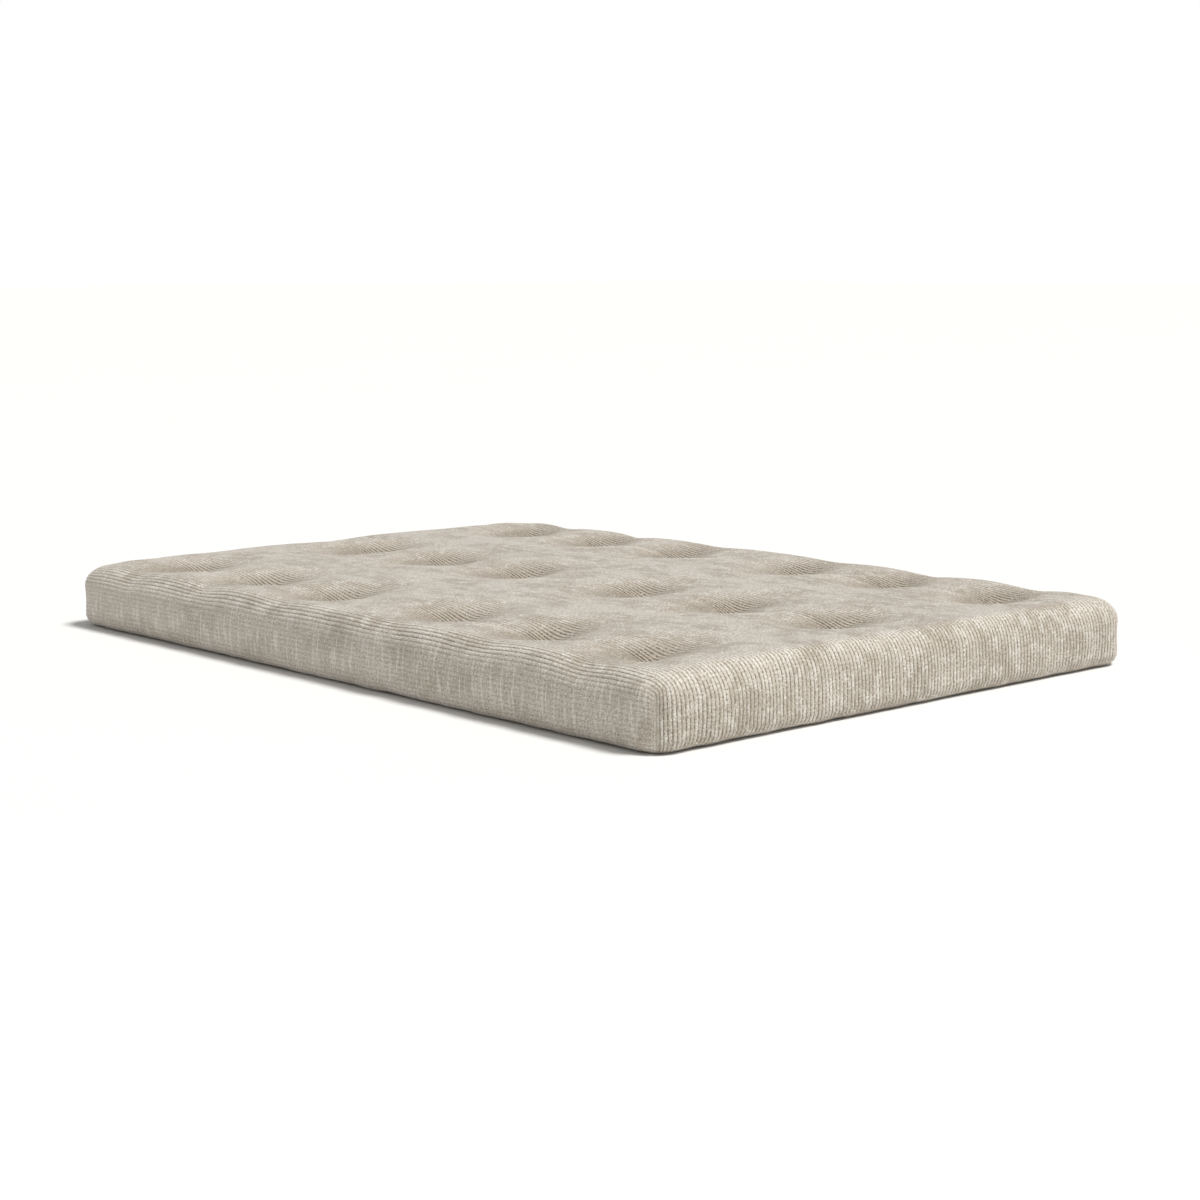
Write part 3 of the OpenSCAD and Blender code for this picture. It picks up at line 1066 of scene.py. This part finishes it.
class FUTON_OT_filling(bpy.types.Operator):
    """Lays the five layers of wadding and foam inside the cover"""

    bl_idname = "futon.filling"
    bl_label = "Filling"

    def layer(self, shape, way, low_share, high_share):
        """Closed points and faces of half a layer between two shares of the thickness."""
        step, least_reach, off_base = 0.03, 12 * MM, 3 * MM
        sheets = []
        run = np.linspace(0, shape.runs[-1], 400)
        out, high = shape.edge_profile(run)
        high = high / shape.height
        gap = shape.sizes.filling_gap
        shares = [high_share, (low_share + high_share) / 2, low_share]
        for share in shares:
            reach = float(np.interp(share, high[::-1], out[::-1])) - gap
            x, y, _ = rounded_sheet(shape, max(reach, least_reach), step, way)
            top = shape.height - shape.top_drop(x, y) - gap
            base = under_pinches(x, y, shape.sizes.under_pinch) + off_base
            z = base + (top - base) * share
            sheets.append(np.stack([x, y, z], -1))
        rows, cols = sheets[0].shape[:2]
        n = np.arange(rows * cols).reshape(rows, cols)
        ring = np.concatenate([n[0, :-1], n[:-1, -1], n[-1, :0:-1], n[:0:-1, 0]])
        upper, waist, lower = [sheet.reshape(-1, 3) for sheet in sheets]
        count = rows * cols
        middle = 2 * count + np.arange(len(ring))
        after, middle_after = np.roll(ring, -1), np.roll(middle, -1)
        faces = [
            grid_faces(rows, cols),
            grid_faces(rows, cols)[:, ::-1] + count,
            np.stack([ring, middle, middle_after, after], -1),
            np.stack([middle, ring + count, after + count, middle_after], -1),
        ]
        return np.concatenate([upper, lower, waist[ring]]), np.concatenate(faces)

    def execute(self, context):
        shape = sewn_cover()["shape"]
        # The lowest layer starts just over the base cloth.
        lowest, slack = 0.02, 0.004
        edges = [lowest, *[z / shape.height for z in LAYER_FLOORS[1:]], 1.0]
        for k, name in enumerate(LAYERS):
            foam = name.startswith("foam")
            material = polyurethane_foam() if foam else felted_cotton_wadding()
            for half, way in HALVES.items():
                points, faces = self.layer(shape, way, edges[k] + slack, edges[k + 1] - slack)
                piece = make_piece(f"{name}_{half}_half", points, faces, material)
                fold_over(piece, half)
                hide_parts(f"{name}_{half}", f"{name}_middle")
        return {"FINISHED"}


class FUTON_OT_base_seam(bpy.types.Operator):
    """Stitches the base cloth to the cover"""

    bl_idname = "futon.base_seam"
    bl_label = "Base seam"

    def execute(self, context):
        cover = sewn_cover()
        sizes = cover["shape"].sizes
        number, points = cover["number"], cover["points"]
        inside_u = np.abs(cover["us"]) < cover["shape"].u_cut + TINY
        inside_v = np.abs(cover["vs"]) < cover["shape"].v_cut + TINY
        ring = np.concatenate([
            number[0, inside_u], number[inside_v, -1],
            number[-1, inside_u][::-1], number[inside_v, 0][::-1],
        ])
        path = points[ring]
        path = np.concatenate([path, path[:1]])
        run = np.concatenate([[0], np.cumsum(np.linalg.norm(np.diff(path, axis=0), axis=1))])
        count = round(run[-1] / sizes.stitch_pitch)
        starts = np.arange(count) * run[-1] / count
        # A stitch shows along its middle and dips into the cloth at its ends.
        seam_height, dip = 0.6 * MM, np.array([1.0, 0.2, 0.0, 0.2, 1.0]) * 1.4 * MM
        for half, way in HALVES.items():
            stitches = []
            for start in starts:
                at = start + np.linspace(0.1, 0.9, len(dip)) * sizes.stitch_pitch
                line = np.stack([np.interp(at, run, path[:, k]) for k in range(3)], -1)
                if line[2, 1] * way <= 0:
                    continue
                line[:, 2] = seam_height + dip
                stitches.append(tube(line, sizes.thread_radius, 6))
            thread, faces = joined(stitches)
            piece = make_piece(f"base_stitches_{half}", thread, faces, spun_polyester_thread())
            fold_over(piece, half)
            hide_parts(f"base_seam_{half}", "base_seam_middle")
        return {"FINISHED"}


class FUTON_OT_corner_seams(bpy.types.Operator):
    """Closes the four upright corners with thread"""

    bl_idname = "futon.corner_seams"
    bl_label = "Corner seams"

    def execute(self, context):
        cover = sewn_cover()
        shape = cover["shape"]
        number, points = cover["number"], cover["points"]
        lowest, highest, sunk = 8 * MM, 0.85 * shape.height, 0.4 * MM
        radius, lay = 1.5 * shape.sizes.thread_radius, 3 * MM
        for end, sv in HALVES.items():
            row = int(np.argmin(np.abs(cover["vs"] - sv * shape.v_cut)))
            for side, su in (("left", -1), ("right", 1)):
                cols = np.flatnonzero(su * cover["us"] > shape.u_cut + TINY)
                line = points[number[row, cols]][::su]
                line = line[(line[:, 2] > lowest) & (line[:, 2] < highest)]
                line = line - np.array([su, sv, 0]) * sunk
                thread, faces = two_ply(line, radius, lay)
                piece = make_piece(
                    f"corner_thread_{end}_{side}", thread, faces, spun_polyester_thread()
                )
                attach(piece, end)
                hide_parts(f"corner_seam_{end}_{side}")
        return {"FINISHED"}


class FUTON_OT_tufts(bpy.types.Operator):
    """Pulls doubled twine through the mattress at each tuft"""

    bl_idname = "futon.tufts"
    bl_label = "Tufts"

    def execute(self, context):
        size = context.scene.futon_sizes
        below_cloth, above_base = 1.5 * MM, 4 * MM
        stitch_rise, stitch_dip = 1.0 * MM, 2.5 * MM
        for (row, side), place in TUFTS.items():
            low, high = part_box(tuft_node(row, side))
            x, y = place[:2]
            top, bottom = float(high[2]) - below_cloth, float(low[2]) + above_base
            shank = [(x, y, z) for z in np.linspace(bottom, top, 30)]
            swing = np.linspace(-1, 1, 17)
            stitch = np.stack([
                x + swing * size.stitch_length / 2,
                y + 0 * swing,
                top + stitch_rise * (1 - swing**2) - stitch_dip * swing**8,
            ], -1)
            # An overhand knot.
            t = np.linspace(0, 2 * math.pi, 49)
            scale = size.knot_radius / 2.4
            knot = np.stack([
                x + scale * (np.sin(t) + 2 * np.sin(2 * t)),
                y + scale * (np.cos(t) - 2 * np.cos(2 * t)),
                bottom - scale * np.sin(3 * t),
            ], -1)
            points, faces = joined([
                two_ply(shank, 1.5 * size.strand_radius, 8 * MM),
                two_ply(stitch, 1.6 * size.strand_radius, 5 * MM, 8),
                tube(knot, 0.9 * size.strand_radius, 8),
            ])
            piece = make_piece(
                f"tuft_twine_{row + 1}_{side}", points, faces, waxed_cotton_twine()
            )
            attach(piece, TUFT_BODIES[row])
            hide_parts(tuft_node(row, side))
        return {"FINISHED"}


class FUTON_OT_stage(bpy.types.Operator):
    """Sets the floor, the light and the camera"""

    bl_idname = "futon.stage"
    bl_label = "Stage"

    def execute(self, context):
        scene, light = context.scene, context.scene.futon_light
        floor_mesh = bpy.data.meshes.new("pale_floor")
        far, under_mattress = 60.0, 0.5 * MM
        floor_mesh.from_pydata(
            [(-far, -far, 0), (far, -far, 0), (far, far, 0), (-far, far, 0)], [], [(0, 1, 2, 3)]
        )
        floor = bpy.data.objects.new("pale_floor", floor_mesh)
        floor.location.z = -under_mattress
        scene.collection.objects.link(floor)
        # Painted studio floor: matt and near white.
        paint, tree = new_material("matt_floor_paint")
        place = add_node(tree, "ShaderNodeTexCoord").outputs["Object"]
        cloudy = cloth_noise(tree, place, (900, 900, 900))
        pale = scene.futon_colours.floor
        surface(tree, laid_over(tree, rgba(pale), rgba(pale, 0.985), cloudy), {"Roughness": 0.9})
        floor_mesh.materials.append(paint)

        world = bpy.data.worlds.new("white_studio")
        world.use_nodes = True
        tree = world.node_tree
        tree.nodes.clear()
        ambient, seen = [
            add_node(tree, "ShaderNodeBackground", {"Color": rgba((1, 1, 1)), "Strength": power})
            for power in (light.sky_strength, 1.0)
        ]
        ray = add_node(tree, "ShaderNodeLightPath").outputs["Is Camera Ray"]
        both = add_node(tree, "ShaderNodeMixShader", {0: ray, 1: ambient, 2: seen})
        add_node(tree, "ShaderNodeOutputWorld", {"Surface": both})
        scene.world = world

        key = bpy.data.lights.new("key", "SUN")
        key.energy = light.key_strength
        key.angle = math.radians(18)
        key.color = (1.0, 0.985, 0.96)
        sun = bpy.data.objects.new("key", key)
        sun.rotation_mode = "QUATERNION"
        sun.rotation_quaternion = light.key_from.to_track_quat("Z", "Y")
        scene.collection.objects.link(sun)

        lens = bpy.data.cameras.new("camera")
        lens.lens = light.lens
        lens.sensor_width = 36
        lens.clip_end = 200
        lens.dof.use_dof = False
        camera = bpy.data.objects.new("camera", lens)
        camera.location = light.camera_place
        camera.rotation_euler = (math.pi / 2 - light.camera_dip, 0, -light.camera_turn)
        scene.collection.objects.link(camera)
        scene.camera = camera
        scene.view_settings.view_transform = "Standard"
        return {"FINISHED"}


class FUTON_PT_panel(bpy.types.Panel):
    """Lists the steps that build the mattress"""

    bl_label = "Tufted futon mattress"
    bl_space_type = "VIEW_3D"
    bl_region_type = "UI"
    bl_category = "Futon"

    def draw(self, context):
        for operator in STEPS:
            self.layout.operator(operator.bl_idname)
        for group in GROUPS:
            settings = getattr(context.scene, group)
            for name in settings.__annotations__:
                self.layout.prop(settings, name)


STEPS = (
    FUTON_OT_stage,
    FUTON_OT_cover,
    FUTON_OT_base_cloth,
    FUTON_OT_filling,
    FUTON_OT_base_seam,
    FUTON_OT_corner_seams,
    FUTON_OT_tufts,
)
GROUPS = {
    "futon_sizes": FutonSizes, "futon_colours": FutonColours, "futon_light": FutonLight,
}
CLASSES = (*GROUPS.values(), *STEPS, FUTON_PT_panel)


def register():
    for cls in CLASSES:
        bpy.utils.register_class(cls)
    for name, group in GROUPS.items():
        setattr(bpy.types.Scene, name, bpy.props.PointerProperty(type=group))


def unregister():
    for name in GROUPS:
        delattr(bpy.types.Scene, name)
    for cls in reversed(CLASSES):
        bpy.utils.unregister_class(cls)


def main():
    """Builds the whole mattress."""
    register()
    for operator in STEPS:
        family, step = operator.bl_idname.split(".")
        getattr(getattr(bpy.ops, family), step)()


if __name__ == "__main__":
    main()
